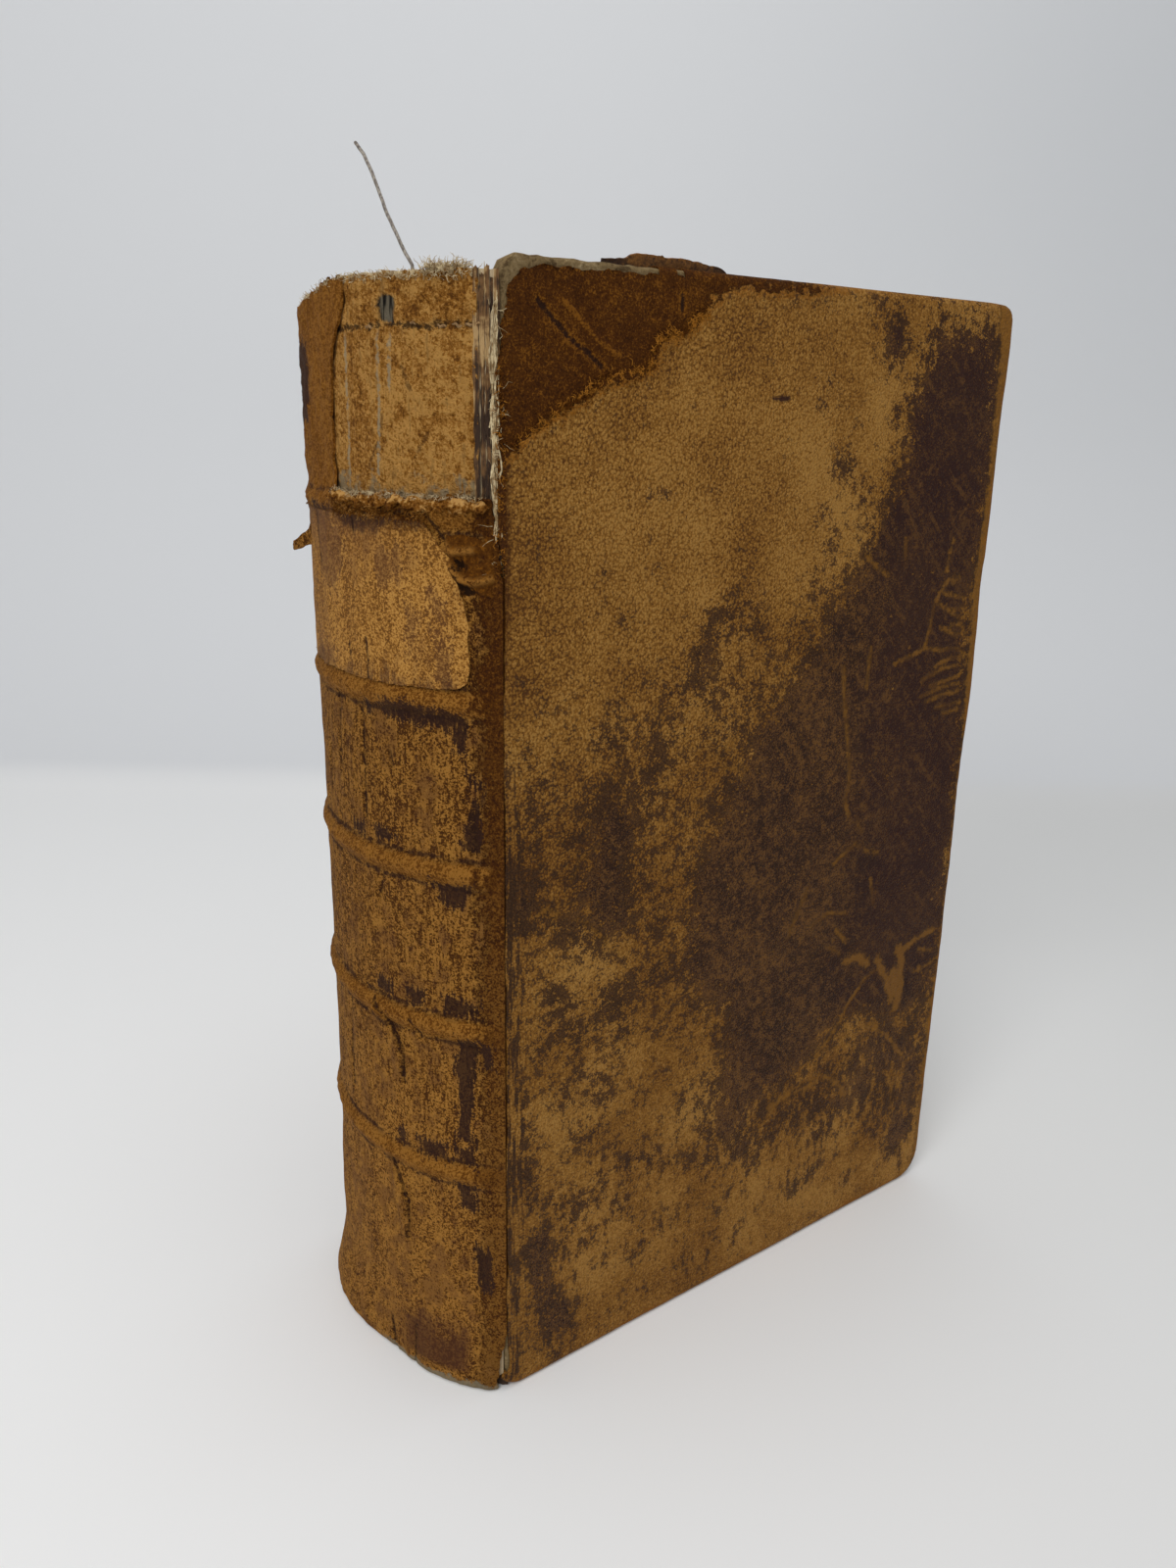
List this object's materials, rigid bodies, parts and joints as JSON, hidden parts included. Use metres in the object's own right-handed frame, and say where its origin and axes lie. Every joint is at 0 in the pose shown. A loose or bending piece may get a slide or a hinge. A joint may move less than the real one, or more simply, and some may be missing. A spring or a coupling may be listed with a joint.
{
  "type": "antique bible",
  "caption": "Thick worn book bound in brown calf, with a rounded spine, raised bands, a torn spine head and covers that open on hinged joints.",
  "frame": {"origin": "middle of the book's footprint, on the surface it stands on", "axes": "+Z from the tail to the head, +X from the spine to the fore-edge, the front cover faces -Y"},
  "size_m": [0.1546, 0.0704, 0.2494],
  "materials": {
    "calf": "worn, dry calf",
    "label_leather": "smooth, cracked",
    "page_paper": "aged, matte",
    "endpaper": "aged, matte",
    "pasteboard": "laminated, matte",
    "cord": "hemp cord, glued",
    "endband": "rolled core, frayed",
    "thread": "linen thread"
  },
  "bodies": {
    "book_block": {"text_block": "page_paper", "head_kettle_stitch": "thread", "tail_kettle_stitch": "thread", "head_endband": "endband", "tail_endband": "endband", "spine_leather": "calf", "title_label": "label_leather", "front_flyleaf": "endpaper", "back_flyleaf": "endpaper", "loose_thread": "thread", "sewing_cord_1": "cord", "sewing_cord_2": "cord", "sewing_cord_3": "cord", "sewing_cord_4": "cord", "sewing_cord_5": "cord"},
    "front_cover": {"front_board": "pasteboard", "front_slips": "cord", "front_leather": "calf", "front_pastedown": "endpaper"},
    "back_cover": {"back_board": "pasteboard", "back_slips": "cord", "back_leather": "calf", "back_pastedown": "endpaper"}
  },
  "joints": [
    {"name": "front_cover_hinge", "type": "hinge", "parent": "book_block", "child": "front_cover", "pos_m": [-0.06085, -0.0352, 0], "axis": [0, 0, -1], "range_deg": [0, 180]},
    {"name": "back_cover_hinge", "type": "hinge", "parent": "book_block", "child": "back_cover", "pos_m": [-0.06085, 0.0352, 0], "axis": [0, 0, 1], "range_deg": [0, 180]}
  ]
}
